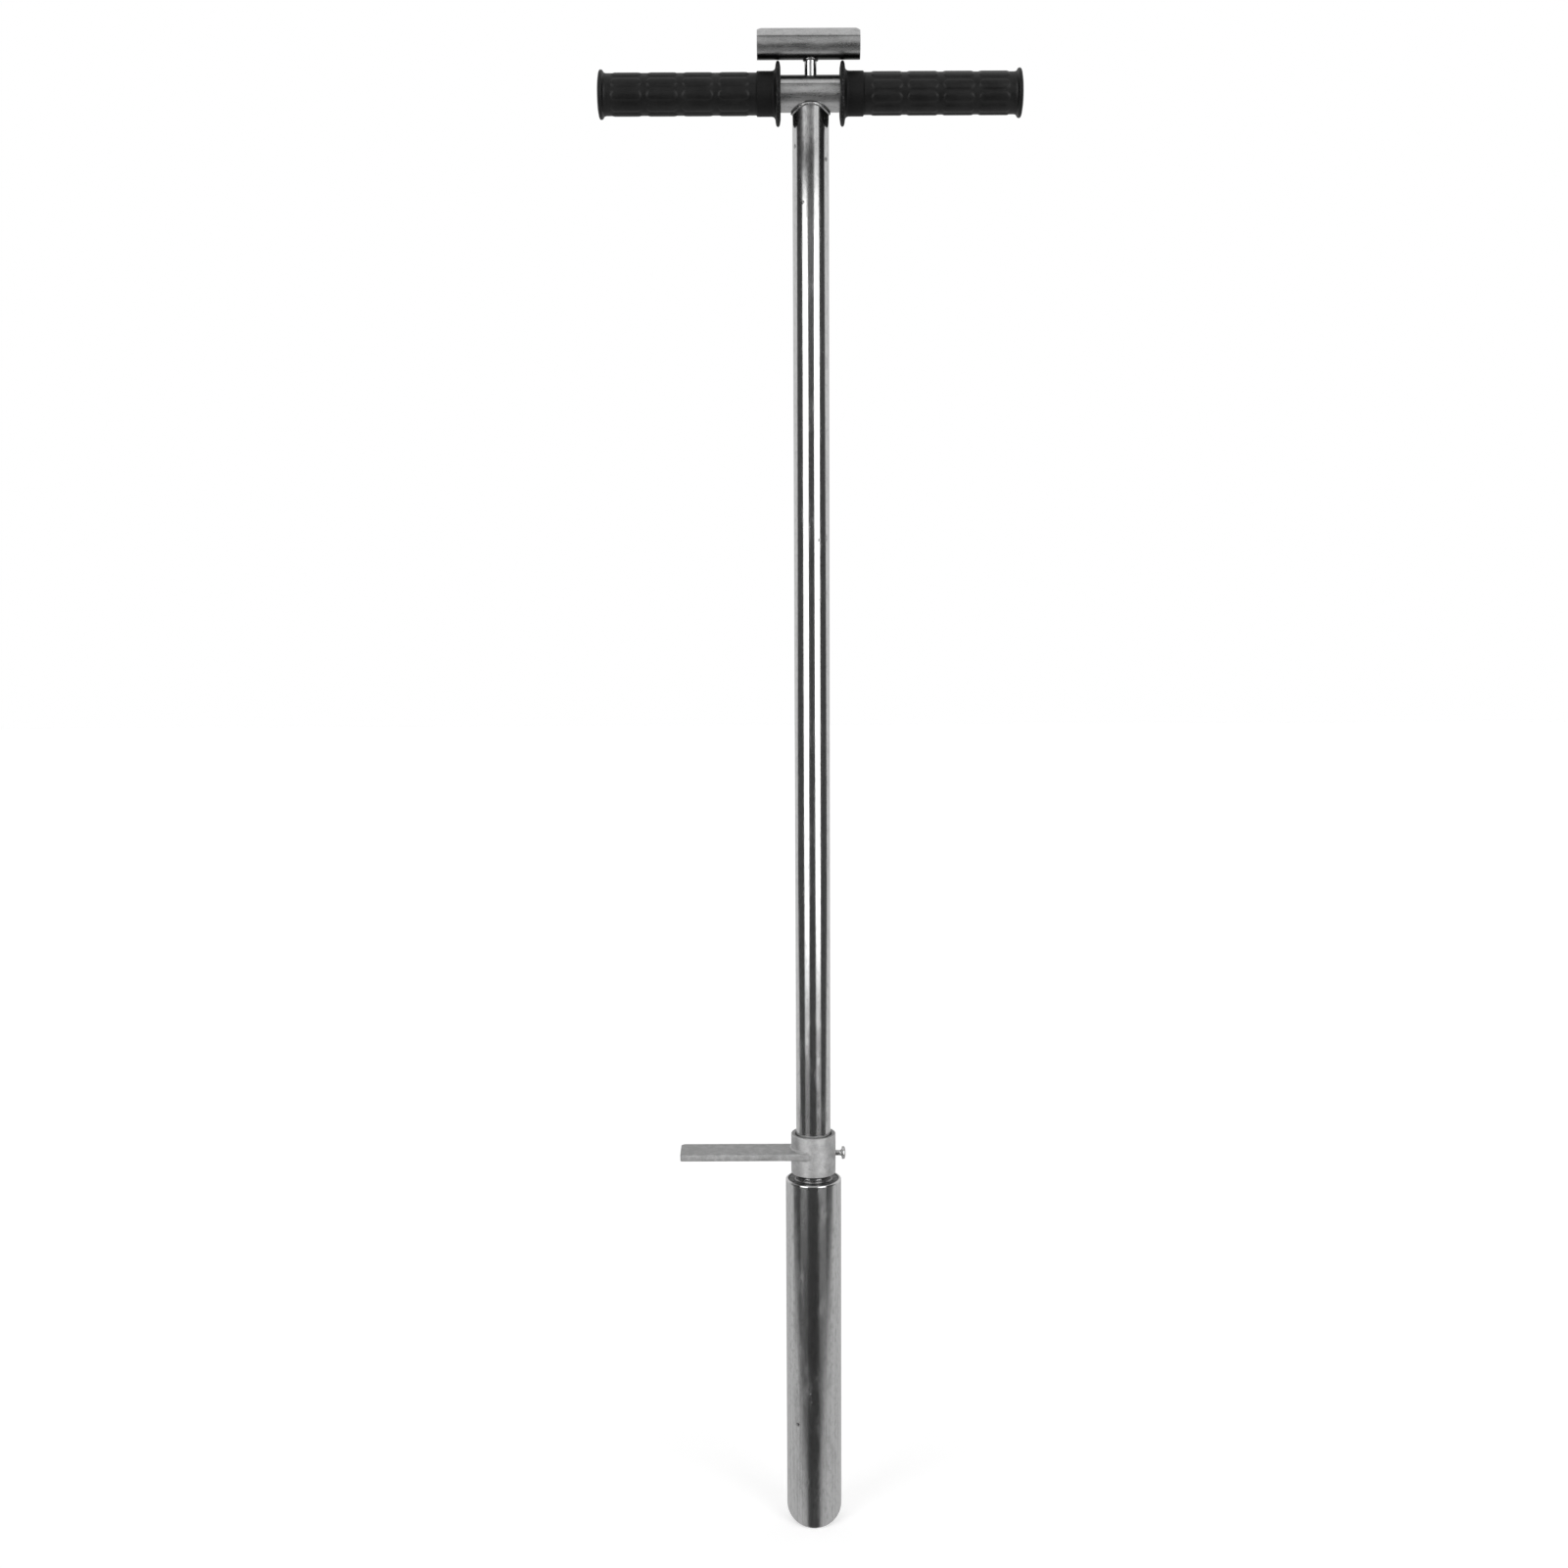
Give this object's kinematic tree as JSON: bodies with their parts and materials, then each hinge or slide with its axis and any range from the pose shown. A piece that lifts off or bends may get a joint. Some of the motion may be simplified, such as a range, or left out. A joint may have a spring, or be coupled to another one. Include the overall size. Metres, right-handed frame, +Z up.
{
  "type": "soil probe",
  "caption": "Hand-pushed soil sampler: slant-tipped sampling tube on a long shaft, cross handle with rubber grips, sliding ejector and a clamped foot step.",
  "frame": {"origin": "the lowest point of the probe in height, on the shaft's axis: the plane of the sampling tube's tip", "axes": "+Z up the shaft to the handle, X along the handle with the foot step towards -X, and -Y towards the side on which the slanted tip is lowest"},
  "size_m": [0.2944, 0.0446, 1.0966],
  "materials": {
    "polished_steel": "bright polished tube with fine drawing lines",
    "satin_steel": "worn satin, mottled",
    "matte_steel": "matte light grey, as zinc plated or blasted",
    "weld_steel": "cleaned weld bead",
    "fastener_steel": "bright plated",
    "black_rubber": "moulded, matte black",
    "nylon": "machined, off white"
  },
  "bodies": {
    "probe": {"sampling_tube": "polished_steel", "shoulder_disc": "polished_steel", "shoulder_weld": "weld_steel", "shaft_tube": "polished_steel", "rod_guide": "nylon", "handle_tube": "satin_steel", "handle_weld": "weld_steel", "grip_left": "black_rubber", "grip_right": "black_rubber"},
    "piston": {"ejector_piston": "nylon"},
    "ejector": {"ejector_bar": "satin_steel", "ejector_rod": "polished_steel", "ejector_weld": "weld_steel", "piston_washer": "fastener_steel", "piston_nut": "fastener_steel", "lock_nut": "fastener_steel"},
    "foot_step": {"step_collar": "matte_steel", "step_bar": "matte_steel", "step_weld": "weld_steel"},
    "clamp": {"clamp_screw": "fastener_steel"}
  },
  "joints": [
    {"name": "ejector_slide", "type": "slide", "parent": "probe", "child": "piston", "axis": [0, 0, 1], "range_m": [0, 0.2191]},
    {"name": "ejector_swivel", "type": "hinge", "parent": "piston", "child": "ejector", "pos_m": [0, 0, 1], "axis": [0, 0, 1], "continuous": true},
    {"name": "step_slide", "type": "slide", "parent": "probe", "child": "foot_step", "axis": [0, 0, 1], "range_m": [-0.0018, 0.7322]},
    {"name": "clamp_screw_turn", "type": "hinge", "parent": "foot_step", "child": "clamp", "pos_m": [0.0185, 0, 0.2897], "axis": [1, 0, 0], "range_deg": [0, 360]}
  ]
}
